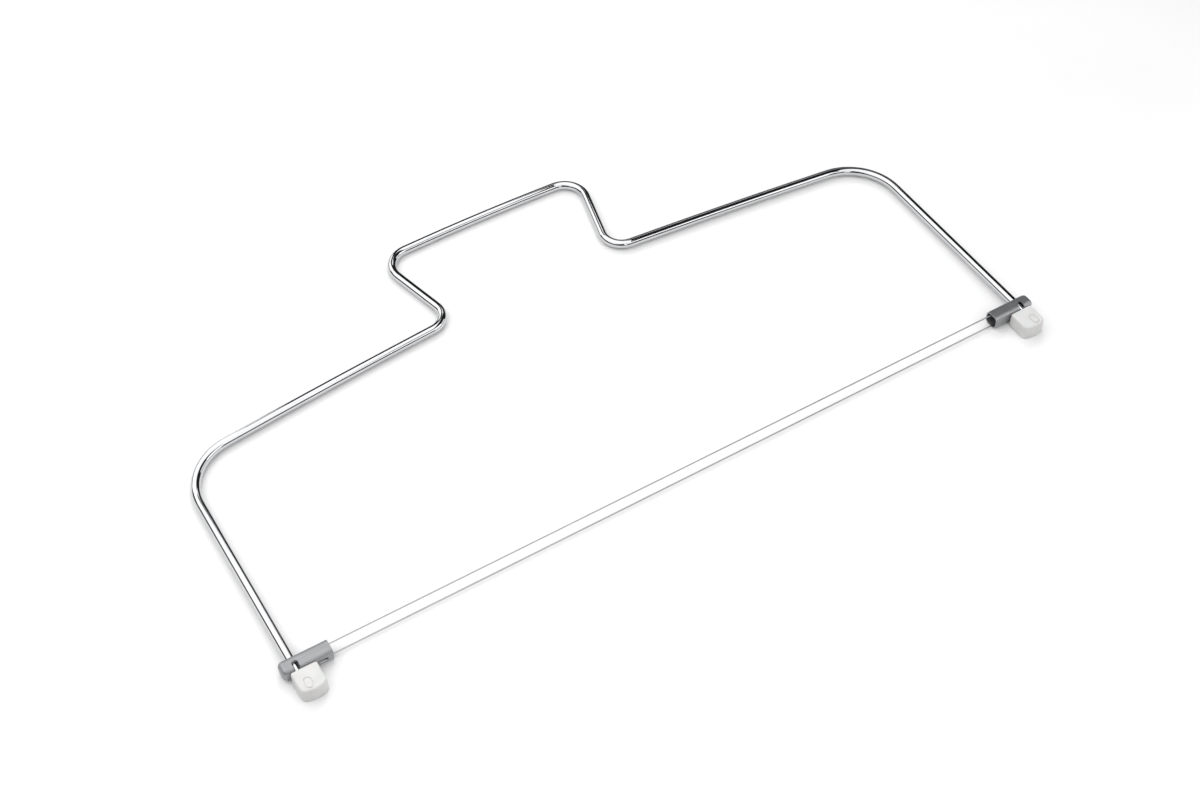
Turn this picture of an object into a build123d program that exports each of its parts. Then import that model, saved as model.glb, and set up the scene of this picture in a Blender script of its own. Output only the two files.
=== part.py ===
from build123d import *
import os
from math import atan, cos, degrees, pi, radians, sin, sqrt, tan

# A cake leveler, lying flat. The cutting wire runs along X, the two legs point along -Y
# to the feet, the handle is at +Y, and Z is up from the surface that it lies on.
# All lengths are in millimetres.

# Frame rod: one round rod, bent in one plane
overall_depth = 170.0  # from the front of the feet to the outer edge of the handle
leg_spacing = 312.0  # between the centre lines of the legs
rod_diameter = 3.7
handle_top_width = 93.4  # between the far corners of the handle
handle_base_width = 71.7  # between the corners where the handle meets the shoulders
handle_height = 43.0  # from the base corners to the far corners
handle_peak = 1.6  # height of the crossbar's middle before it is rounded
shoulder_fall = 12.4  # from the base corners of the handle to the outer corners
shoulder_peak = 0.9  # height of each shoulder's middle before it is rounded
top_bend_radius = 9.5  # at the far corners of the handle
base_bend_radius = 8.0
outer_bend_radius = 22.0  # where the shoulders turn into the legs
gentle_bend_share = 0.95  # part of the free straight length that a gentle bend takes up

# Feet: moulded blocks pressed on the ends of the legs
foot_width = 10.2
foot_length = 10.3
foot_height = 6.4
foot_offset = 2.1  # from the leg to the middle of the foot, inwards
foot_front_bow = 1.2
foot_front_radius = 2.6
foot_back_radius = 1.0
foot_draft = 0.28  # how far each side leans in from bottom to top
foot_top_fall = 0.2  # from the ridge over the leg to the sides
foot_top_fillet = 0.8
foot_bottom_fillet = 0.5
foot_grip = 8.0  # length of the leg inside the foot
foot_fit = 0.02  # clearance around the leg
ring_length = 4.8  # the shallow ring on top of each foot
ring_width = 3.0
ring_line = 0.5
ring_depth = 0.25
ring_setback = 6.8  # from the back of the foot to the middle of the ring
ring_offset = 1.0  # from the leg to the middle of the ring, inwards

# Sliders: thin tubes across the legs, closed outside and open towards each other
slider_width = 6.0  # along the leg
slider_height = 6.0
slider_wall = 0.5
slider_corner_radius = 2.0
slider_end_fillet = 1.8
slider_inner_reach = 13.4  # from the leg to the open mouth
slider_outer_reach = 5.1  # from the leg to the closed end
slider_gap = 0.2  # from the foot, with the sliders all the way down
leg_fit = 0.08  # clearance around the leg
slot_width = 2.2  # of the keyhole slot over the leg
slot_offset = 0.35  # from the leg to the middle of the slot, inwards
slot_setback = 2.5  # from the back of the slider to the end of the slot

# Cutting wire: one wire, doubled into two strands
wire_diameter = 0.5
wire_fit = 0.06  # clearance between the strands and the legs that they pass
upper_strand_setback = 0.65  # from the middle of the sliders, towards the handle
return_strand_setback = 1.25
lower_strand_advance = 0.95  # from the middle of the sliders, towards the feet
return_strand_length = 8.0  # of the end that is hidden in the left slider
wire_hole_diameter = 1.4  # the left slider has this hole, for the wire's other end
wire_hole_reach = 10.6  # from the leg to the hole
wire_bend_radius = 0.6
wire_tail = 2.0  # of the end that is bent back outside the hole
tail_fit = 0.04  # clearance between that end and the slider

cut_overrun = 2.0  # how far the cuts run past the faces that they open

# Values that follow from these sizes
rod_radius = rod_diameter / 2
wire_radius = wire_diameter / 2
leg_x = leg_spacing / 2
handle_y = overall_depth / 2 - rod_radius
foot_front_y = -overall_depth / 2
foot_back_y = foot_front_y + foot_length

# The handle's crossbar lies on the surface and the feet hold the legs at half their own
# height, so the rod's plane rises a little towards the feet.
tilt = atan((foot_height / 2 - rod_radius) / (handle_y - foot_front_y - foot_length / 2))
rod_plane = Plane(
    origin=(0, handle_y, rod_radius),
    x_dir=(1, 0, 0),
    z_dir=(0, sin(tilt), cos(tilt)),
)


def place_along_leg(y):
    """Distance from the handle's crossbar, in the rod's plane, of a place at this y."""
    return (y - handle_y) / cos(tilt)


def rod_point(x, y, z):
    """Point in space, from its place in the rod's plane and its height over it."""
    return rod_plane.from_local_coords(Vector(x, y, z))


def half_turn(before, corner, after):
    """Half of the angle, in radians, that the rod turns by at a corner."""
    arriving = Vector(*corner) - Vector(*before)
    leaving = Vector(*after) - Vector(*corner)
    return radians(arriving.get_angle(leaving)) / 2


def distance(start, end):
    """Straight distance between two points of the rod's outline."""
    return (Vector(*end) - Vector(*start)).length


leg_end = place_along_leg(foot_back_y) - foot_grip
slider_place = place_along_leg(foot_back_y) + slider_gap + slider_width / 2
strand_height = rod_radius + wire_fit + wire_radius


# Outline of the rod's right half, with y from the line between the handle's far corners
crown = (0, handle_peak)
top_corner = (handle_top_width / 2, 0)
base_corner = (handle_base_width / 2, -handle_height)
outer_corner = (leg_x, -handle_height - shoulder_fall)
shoulder_length = distance(base_corner, outer_corner)
shoulder_middle = (
    (base_corner[0] + outer_corner[0]) / 2 + shoulder_peak * shoulder_fall / shoulder_length,
    (base_corner[1] + outer_corner[1]) / 2
    + shoulder_peak * (outer_corner[0] - base_corner[0]) / shoulder_length,
)
below_outer_corner = (leg_x, outer_corner[1] - outer_bend_radius)

# The crossbar and the shoulders bend gently all along, between the tighter bends.
top_tangent = top_bend_radius * tan(half_turn(crown, top_corner, base_corner))
base_tangent = base_bend_radius * tan(half_turn(top_corner, base_corner, shoulder_middle))
outer_tangent = outer_bend_radius * tan(
    half_turn(shoulder_middle, outer_corner, below_outer_corner)
)
crown_half_turn = half_turn((-top_corner[0], 0), crown, top_corner)
crown_tangent = gentle_bend_share * (distance(crown, top_corner) - top_tangent)
crown_radius = crown_tangent / tan(crown_half_turn)
shoulder_free = distance(base_corner, shoulder_middle) - max(base_tangent, outer_tangent)
shoulder_radius = (
    gentle_bend_share * shoulder_free
    / tan(half_turn(base_corner, shoulder_middle, outer_corner))
)

# The rounded middle of the crossbar is where the rod's plane has its origin.
crossbar_rise = handle_peak - crown_radius * (1 / cos(crown_half_turn) - 1)
right_points = [
    (x, y - crossbar_rise)
    for x, y in (top_corner, base_corner, shoulder_middle, outer_corner)
]
right_points.append((leg_x, leg_end))
left_points = [(-x, y) for x, y in reversed(right_points)]
right_radii = [top_bend_radius, base_bend_radius, shoulder_radius, outer_bend_radius]

with BuildLine(rod_plane) as rod_line:
    FilletPolyline(
        *left_points,
        (0, handle_peak - crossbar_rise),
        *right_points,
        radius=[*reversed(right_radii), crown_radius, *right_radii],
    )

# The rod is made in five pieces that meet face to face, where bends begin: the two legs, the
# two shoulders with their outer bends, and the handle. From the handle outwards, the right
# shoulder is a straight, its gentle bend, a straight and the outer bend.
shoulder_edge_count = 4
rod_edges = rod_line.wire().order_edges()
shoulder_start = len(rod_edges) - 1 - shoulder_edge_count
leg_path = Wire(rod_edges[-1:])
shoulder_path = Wire(rod_edges[shoulder_start:-1])
handle_path = Wire(rod_edges[len(rod_edges) - shoulder_start:shoulder_start])

with BuildPart() as right_leg:
    with BuildSketch(Plane(leg_path @ 0, z_dir=leg_path % 0)):
        Circle(rod_radius)
    sweep(path=leg_path)
right_leg.part.label = "right_leg"

with BuildPart() as left_leg:
    mirror(right_leg.part, about=Plane.YZ)
left_leg.part.label = "left_leg"

with BuildPart() as right_shoulder:
    with BuildSketch(Plane(shoulder_path @ 0, z_dir=shoulder_path % 0)):
        Circle(rod_radius)
    sweep(path=shoulder_path)
right_shoulder.part.label = "right_shoulder"

with BuildPart() as left_shoulder:
    mirror(right_shoulder.part, about=Plane.YZ)
left_shoulder.part.label = "left_shoulder"

with BuildPart() as handle:
    with BuildSketch(Plane(handle_path @ 0, z_dir=handle_path % 0)):
        Circle(rod_radius)
    sweep(path=handle_path)
handle.part.label = "handle"


# Right foot, with its ridge over the leg
foot_inner_x = leg_x - foot_offset - foot_width / 2
foot_outer_x = foot_inner_x + foot_width
foot_side_y = foot_front_y + foot_front_bow

with BuildPart() as right_foot:
    with BuildSketch() as footprint:
        with BuildLine():
            ThreePointArc(
                (foot_inner_x, foot_side_y),
                ((foot_inner_x + foot_outer_x) / 2, foot_front_y),
                (foot_outer_x, foot_side_y),
            )
            Polyline(
                (foot_outer_x, foot_side_y),
                (foot_outer_x, foot_back_y),
                (foot_inner_x, foot_back_y),
                (foot_inner_x, foot_side_y),
            )
        make_face()
        fillet(footprint.vertices().group_by(Axis.Y)[-1], foot_back_radius)
        fillet(footprint.vertices().group_by(Axis.Y)[0], foot_front_radius)
    extrude(amount=foot_height, taper=degrees(atan(foot_draft / foot_height)))
    with BuildSketch(Plane.XZ.offset(-foot_back_y - cut_overrun)):
        Polygon(
            (foot_inner_x - cut_overrun, 0),
            (foot_outer_x + cut_overrun, 0),
            (foot_outer_x + cut_overrun, foot_height - foot_top_fall),
            (leg_x, foot_height),
            (foot_inner_x - cut_overrun, foot_height - foot_top_fall),
            align=None,
        )
    extrude(amount=foot_length + 2 * cut_overrun, mode=Mode.INTERSECT)
    ridge = edges().filter_by(Axis.Y).sort_by(Axis.Z)[-1]
    top_edges = faces().sort_by(Axis.Z)[-2:].edges()
    fillet([edge for edge in top_edges if not edge.is_same(ridge)], foot_top_fillet)
    fillet(faces().sort_by(Axis.Z)[0].edges(), foot_bottom_fillet)
    with BuildSketch(Plane(rod_point(leg_x, leg_end, 0), z_dir=rod_plane.y_dir)):
        Circle(rod_radius + foot_fit)
    extrude(amount=foot_grip + cut_overrun, mode=Mode.SUBTRACT)
    with BuildSketch(Plane.XY.offset(foot_height - ring_depth)):
        with Locations((leg_x - ring_offset, foot_back_y - ring_setback)):
            SlotOverall(ring_length, ring_width, rotation=90)
            SlotOverall(
                ring_length - 2 * ring_line,
                ring_width - 2 * ring_line,
                rotation=90,
                mode=Mode.SUBTRACT,
            )
    extrude(amount=cut_overrun, mode=Mode.SUBTRACT)
right_foot.part.label = "right_foot"

with BuildPart() as left_foot:
    mirror(right_foot.part, about=Plane.YZ)
left_foot.part.label = "left_foot"


# Sliders: the left one also has the small hole that the wire's end comes out of
slider_mouth = Plane(
    rod_point(leg_x - slider_inner_reach, slider_place, 0),
    x_dir=rod_plane.y_dir,
    z_dir=(1, 0, 0),
)
slot_back = slider_width / 2 - slot_setback
slot_front = -slider_width / 2 - cut_overrun

with BuildPart() as right_slider:
    with BuildSketch(slider_mouth):
        RectangleRounded(slider_width, slider_height, slider_corner_radius)
    extrude(amount=slider_inner_reach + slider_outer_reach)
    fillet(faces().sort_by(Axis.X)[-1].edges(), slider_end_fillet)
    offset(amount=-slider_wall, openings=faces().sort_by(Axis.X)[0])
    with BuildSketch(Plane(rod_point(leg_x, slider_place, 0), z_dir=rod_plane.y_dir)):
        Circle(rod_radius + leg_fit)
    extrude(amount=slider_width / 2 + cut_overrun, both=True, mode=Mode.SUBTRACT)
    with BuildSketch(
        Plane(rod_point(leg_x - slot_offset, slider_place, 0), (1, 0, 0), rod_plane.z_dir)
    ):
        with Locations((0, (slot_back + slot_front) / 2)):
            SlotOverall(slot_back - slot_front, slot_width, rotation=90)
    extrude(amount=slider_height / 2 + cut_overrun, mode=Mode.SUBTRACT)
right_slider.part.label = "right_slider"

hole_x = -leg_x + wire_hole_reach
upper_y = slider_place + upper_strand_setback
return_y = slider_place + return_strand_setback
lower_y = slider_place - lower_strand_advance

with BuildPart() as left_slider:
    mirror(right_slider.part, about=Plane.YZ)
    with BuildSketch(
        Plane(
            rod_point(hole_x, lower_y - wire_radius, 0),
            z_dir=-rod_plane.y_dir,
        )
    ):
        Circle(wire_hole_diameter / 2)
    extrude(amount=slider_width / 2, mode=Mode.SUBTRACT)
left_slider.part.label = "left_slider"


# Cutting wire. Its hidden end starts under the left leg, goes round that leg, along the
# top to the right leg, round it, back underneath, and up and out of the left slider's hole.
def loop_middle(side, first_y, second_y):
    """Outermost point of the half circle that the wire makes round a leg."""
    radius = sqrt((first_y - second_y) ** 2 + (2 * strand_height) ** 2) / 2
    return (side * (leg_x + radius), (first_y + second_y) / 2, 0)


tail_y = slider_place - slider_width / 2 - tail_fit - wire_radius

with BuildPart() as cutting_wire:
    with BuildLine(rod_plane) as wire_line:
        Line(
            (-leg_x + return_strand_length, return_y, -strand_height),
            (-leg_x, return_y, -strand_height),
        )
        ThreePointArc(
            (-leg_x, return_y, -strand_height),
            loop_middle(-1, return_y, upper_y),
            (-leg_x, upper_y, strand_height),
        )
        Line((-leg_x, upper_y, strand_height), (leg_x, upper_y, strand_height))
        ThreePointArc(
            (leg_x, upper_y, strand_height),
            loop_middle(1, upper_y, lower_y),
            (leg_x, lower_y, -strand_height),
        )
        FilletPolyline(
            (leg_x, lower_y, -strand_height),
            (hole_x, lower_y, -strand_height),
            (hole_x, lower_y, 0),
            (hole_x, tail_y, 0),
            (hole_x - wire_bend_radius - wire_tail, tail_y, 0),
            radius=wire_bend_radius,
        )
    with BuildSketch(Plane(wire_line.line @ 0, z_dir=wire_line.line % 0)):
        Circle(wire_radius)
    sweep()
cutting_wire.part.label = "cutting_wire"


# A bent round rod or wire has the volume of its section times its length.
for piece, path, radius in (
    (right_leg, leg_path, rod_radius),
    (right_shoulder, shoulder_path, rod_radius),
    (handle, handle_path, rod_radius),
    (cutting_wire, wire_line.wire(), wire_radius),
):
    expected = path.length * pi * radius**2
    print(piece.part.label, "volume", piece.part.volume, "expected", expected)

os.makedirs("parts", exist_ok=True)
for piece in (
    left_leg,
    right_leg,
    left_shoulder,
    right_shoulder,
    handle,
    left_foot,
    right_foot,
    left_slider,
    right_slider,
    cutting_wire,
):
    export_step(piece.part, f"parts/{piece.part.label}.step")
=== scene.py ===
"""A cake leveler lying on a white table: a bent chromed rod, two chromed sliders that carry a
doubled steel wire, and two white plastic feet. The photograph's overexposed studio is a white
table under softboxes, with gaps between them that give the chrome its dark lines."""

from math import asin, pi, radians

import bpy
import numpy as np
from mathutils import Matrix, Vector

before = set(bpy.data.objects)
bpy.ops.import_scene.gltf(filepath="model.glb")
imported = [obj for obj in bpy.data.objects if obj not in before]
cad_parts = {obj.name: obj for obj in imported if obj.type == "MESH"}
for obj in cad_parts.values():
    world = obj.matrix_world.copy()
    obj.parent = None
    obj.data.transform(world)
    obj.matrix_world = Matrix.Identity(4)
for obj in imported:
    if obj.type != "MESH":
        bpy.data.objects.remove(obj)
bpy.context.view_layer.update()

MM = 0.001

# The bent rod, from end to end, and the slope at which it lies, down towards the handle
ROD_NODES = ("left_leg", "left_shoulder", "handle", "right_shoulder", "right_leg")
ROD_TILT = asin(0.00828192)

# Between these two values lies nearly all of a noise pattern
NOISE_RANGE = (0.3, 0.7)

# The camera that was worked out from the photograph, in the part's own frame, with its angles
# in degrees and its sensor and lens in millimetres
CAMERA_PLACE = Vector((-229.1, -389.9, 524.5)) * MM
CAMERA_ELEVATION = 50.80
CAMERA_AZIMUTH = -31.25
CAMERA_ROLL = 0.10
SENSOR_WIDTH = 36.0
LENS = 53.70
NEAREST = 10 * MM
FARTHEST = 20000 * MM

# The table, which lies just below the feet's soles so that the two faces stay apart
TABLE_HALF_SIZE = 600 * MM
TABLE_DROP = 0.02 * MM

# The room's radiance where it fills in the shadows, where metal mirrors it, and where the
# camera sees it past the table
FILL_RADIANCE = 0.24
MIRRORED_RADIANCE = 0.02
BACKDROP_RADIANCE = 0.97
SOFTBOXES = (
    # name, middle (mm), azimuth and elevation that it shines from, size (mm), radiance,
    # whether metal mirrors it
    ("overhead_left", (-620, 480, 650), 0, 90, (1240, 842), 1.7, True),
    ("overhead_right", (128, 290, 650), 0, 90, (256, 462), 1.7, True),
    ("overhead_middle", (-492, -116, 650), 0, 90, (1496, 350), 1.55, True),
    ("overhead_front", (-518, -426, 650), 0, 90, (1445, 270), 1.55, True),
    ("overhead_corner", (450, 570, 650), 0, 90, (340, 160), 1.2, True),
    ("front", (360, -576, 530), 32, 37, (900, 290), 1.6, True),
    ("front_left", (-120, -700, 370), -3, 24, (180, 420), 1.6, True),
    ("right", (650, -430, 300), 56.5, 21, (1000, 440), 1.1, True),
    ("back_left", (-320, 950, 440), -161.5, 24, (760, 460), 1.65, True),
    ("key", (700, 1000, 1100), 145, 42, (800, 800), 4.0, False),
)


def linear(hex_colour):
    """sRGB hex colour to linear RGBA."""
    srgb = np.array([int(hex_colour[i:i + 2], 16) for i in (1, 3, 5)]) / 255
    low = srgb / 12.92
    high = ((srgb + 0.055) / 1.055) ** 2.4
    return (*np.where(srgb <= 0.04045, low, high), 1.0)


def add_node(tree, kind, settings=None, links=None, **inputs):
    """One node: its settings are attributes, its inputs are socket values by name with
    underscores for spaces, and its links are socket name or number to (node, output)."""
    node = tree.nodes.new(kind)
    for name, value in (settings or {}).items():
        setattr(node, name, value)
    for name, value in inputs.items():
        node.inputs[name.replace("_", " ")].default_value = value
    for socket, (source, output) in (links or {}).items():
        tree.links.new(source.outputs[output], node.inputs[socket])
    return node


def pattern(tree, size, detail):
    """A noise whose features have the given size in millimetres along X, along Y and across
    the plane of the bent rod, so that its lines follow the rod."""
    place = add_node(tree, "ShaderNodeTexCoord")
    mapped = add_node(
        tree, "ShaderNodeMapping", settings={"vector_type": "TEXTURE"},
        links={"Vector": (place, "Object")},
        Rotation=(-ROD_TILT, 0, 0), Scale=[side * MM for side in size],
    )
    field = add_node(
        tree, "ShaderNodeTexNoise", links={"Vector": (mapped, 0)}, Scale=1.0, Detail=detail
    )
    return field, 0


def make_material(name, patterns, colour, roughness, relief, **constants):
    """A material from named patterns, each a size and a detail. One moves the colour between
    two shades, one the roughness between two values, and the surface is raised by others, each
    with its depth in millimetres. The constants go to the shader's own sockets."""
    material = bpy.data.materials.new(name)
    material.use_nodes = True
    tree = material.node_tree
    tree.nodes.clear()
    fields = {key: pattern(tree, size, detail) for key, (size, detail) in patterns.items()}

    source, dark_hex, light_hex = colour
    shade = add_node(tree, "ShaderNodeValToRGB", links={"Fac": fields[source]})
    for stop, place, hex_colour in zip(
        shade.color_ramp.elements, NOISE_RANGE, (dark_hex, light_hex)
    ):
        stop.position = place
        stop.color = linear(hex_colour)

    source, smooth, rough = roughness
    gloss = add_node(
        tree, "ShaderNodeMapRange", links={"Value": fields[source]},
        From_Min=NOISE_RANGE[0], From_Max=NOISE_RANGE[1], To_Min=smooth, To_Max=rough,
    )

    links = {"Base Color": (shade, 0), "Roughness": (gloss, 0)}
    for source, depth in relief:
        below = {"Normal": links["Normal"]} if "Normal" in links else {}
        bump = add_node(
            tree, "ShaderNodeBump", links={"Height": fields[source], **below},
            Distance=depth * MM,
        )
        links["Normal"] = (bump, 0)

    shader = add_node(tree, "ShaderNodeBsdfPrincipled", links=links, **constants)
    output = tree.nodes.new("ShaderNodeOutputMaterial")
    tree.links.new(shader.outputs[0], output.inputs[0])
    return material


def chrome_plate():
    """Decorative chrome over drawn steel rod: a clear mirror that faint draw lines and a slow
    waviness of the plating break up along the rod, with a trace of haze from handling. The
    draw lines are coarser than real ones, so that they show close up."""
    return make_material(
        "chrome_plate",
        patterns={
            "draw_lines": ((40, 40, 0.14), 3),
            "waviness": ((3.5, 3.5, 1.6), 1),
            "haze": ((14, 14, 2.2), 2),
        },
        colour=("haze", "#c8c9cc", "#d1d1d2"),
        roughness=("draw_lines", 0.02, 0.07),
        relief=(("waviness", 0.004), ("draw_lines", 0.0004)),
        Metallic=1.0,
    )


def chromed_tube():
    """Satin chrome over rolled tube: a soft grey metal with lines along the tube, coarser than
    real ones so that they show, and cloudy patches where fingers push the slider."""
    return make_material(
        "chromed_tube",
        patterns={"rolled_lines": ((9, 0.13, 0.13), 3), "patches": ((5, 5, 5), 3)},
        colour=("rolled_lines", "#a0a1a3", "#adaeb0"),
        roughness=("patches", 0.48, 0.57),
        relief=(("patches", 0.0015), ("rolled_lines", 0.0003)),
        Metallic=1.0,
    )


def drawn_steel_wire():
    """Bright drawn stainless wire: draw lines along it, coarser than real ones so that they
    show, dull its shine to a soft grey."""
    return make_material(
        "drawn_steel_wire",
        patterns={"draw_lines": ((20, 0.05, 0.05), 3)},
        colour=("draw_lines", "#aaaaac", "#bababc"),
        roughness=("draw_lines", 0.28, 0.42),
        relief=(("draw_lines", 0.0006),),
        Metallic=1.0,
    )


def moulded_polyethylene():
    """White moulded polyethylene: a soft satin white that lets a little light in, with the
    grain of an eroded mould, coarser than real so that it shows, and slightly sunken faces."""
    return make_material(
        "moulded_polyethylene",
        patterns={"grain": ((0.22, 0.22, 0.22), 2), "sink": ((4.5, 4.5, 4.5), 1)},
        colour=("sink", "#c4c4c3", "#cccccb"),
        roughness=("grain", 0.36, 0.50),
        relief=(("sink", 0.03), ("grain", 0.005)),
        IOR=1.5, Subsurface_Weight=0.12, Subsurface_Scale=1.5 * MM,
    )


def matt_laminate():
    """Matt white laminate: a faint pebble grain that keeps the table free of mirror images,
    and a hardly visible drift of its white."""
    return make_material(
        "matt_laminate",
        patterns={"pebble": ((0.5, 0.5, 0.5), 2), "drift": ((90, 90, 90), 2)},
        colour=("drift", "#e2e2e2", "#e6e6e6"),
        roughness=("pebble", 0.75, 0.95),
        relief=(("pebble", 0.01),),
        IOR=1.4,
    )


def make_table():
    """The flat white table top that the leveler lies on: a square round the origin."""
    half = TABLE_HALF_SIZE
    mesh = bpy.data.meshes.new("table_top")
    mesh.from_pydata(
        [(-half, -half, -TABLE_DROP), (half, -half, -TABLE_DROP),
         (half, half, -TABLE_DROP), (-half, half, -TABLE_DROP)],
        [], [(0, 1, 2, 3)],
    )
    table = bpy.data.objects.new("table_top", mesh)
    bpy.context.scene.collection.objects.link(table)
    mesh.materials.append(matt_laminate())


def turned(place, azimuth, elevation, roll=0.0):
    """Matrix of a camera or light at a place, that looks back along its own direction:
    azimuth 0 is at -Y, 90 at +X, and elevation 90 is straight above."""
    return (
        Matrix.Translation(place)
        @ Matrix.Rotation(radians(azimuth), 4, "Z")
        @ Matrix.Rotation(radians(90 - elevation), 4, "X")
        @ Matrix.Rotation(radians(-roll), 4, "Z")
    )


def make_softbox(name, place, azimuth, elevation, size, radiance, mirrored):
    """One rectangular softbox, with its middle and its size in millimetres. Its power is its
    radiance times pi times its area."""
    data = bpy.data.lights.new(name, "AREA")
    data.shape = "RECTANGLE"
    data.size, data.size_y = (side * MM for side in size)
    data.energy = radiance * pi * data.size * data.size_y
    softbox = bpy.data.objects.new(name, data)
    bpy.context.scene.collection.objects.link(softbox)
    softbox.matrix_world = turned(Vector(place) * MM, azimuth, elevation)
    softbox.visible_glossy = mirrored


def make_room():
    """A room that is dark to the chrome, where the gaps between the softboxes give the dark
    lines, fills in the shadows, and looks pale past the table's edge in low views."""
    world = bpy.data.worlds.new("studio")
    bpy.context.scene.world = world
    world.use_nodes = True
    tree = world.node_tree
    tree.nodes.clear()
    fill, mirrored, backdrop = (
        add_node(tree, "ShaderNodeBackground", Color=(1, 1, 1, 1), Strength=radiance)
        for radiance in (FILL_RADIANCE, MIRRORED_RADIANCE, BACKDROP_RADIANCE)
    )
    rays = add_node(tree, "ShaderNodeLightPath")
    unseen = add_node(
        tree, "ShaderNodeMixShader",
        links={"Fac": (rays, "Is Glossy Ray"), 1: (fill, 0), 2: (mirrored, 0)},
    )
    room = add_node(
        tree, "ShaderNodeMixShader",
        links={"Fac": (rays, "Is Camera Ray"), 1: (unseen, 0), 2: (backdrop, 0)},
    )
    output = tree.nodes.new("ShaderNodeOutputWorld")
    tree.links.new(room.outputs[0], output.inputs[0])
    for softbox in SOFTBOXES:
        make_softbox(*softbox)


def make_camera():
    """The photograph's camera."""
    data = bpy.data.cameras.new("photo_camera")
    data.sensor_width = SENSOR_WIDTH
    data.lens = LENS
    data.clip_start = NEAREST
    data.clip_end = FARTHEST
    camera = bpy.data.objects.new("photo_camera", data)
    bpy.context.scene.collection.objects.link(camera)
    camera.matrix_world = turned(CAMERA_PLACE, CAMERA_AZIMUTH, CAMERA_ELEVATION, CAMERA_ROLL)
    bpy.context.scene.camera = camera


def finish_node(name, material):
    """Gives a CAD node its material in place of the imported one."""
    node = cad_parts[name]
    node.data.materials.clear()
    node.data.materials.append(material)


def main():
    """Gives the CAD nodes their finishes and sets up the table, the room and the camera."""
    plastic = moulded_polyethylene()
    tube = chromed_tube()
    chrome = chrome_plate()
    for name in ROD_NODES:
        finish_node(name, chrome)
    finish_node("cutting_wire", drawn_steel_wire())
    for side in ("left", "right"):
        finish_node(side + "_foot", plastic)
        finish_node(side + "_slider", tube)
    make_table()
    make_room()
    make_camera()
    bpy.context.scene.view_settings.view_transform = "Standard"


main()
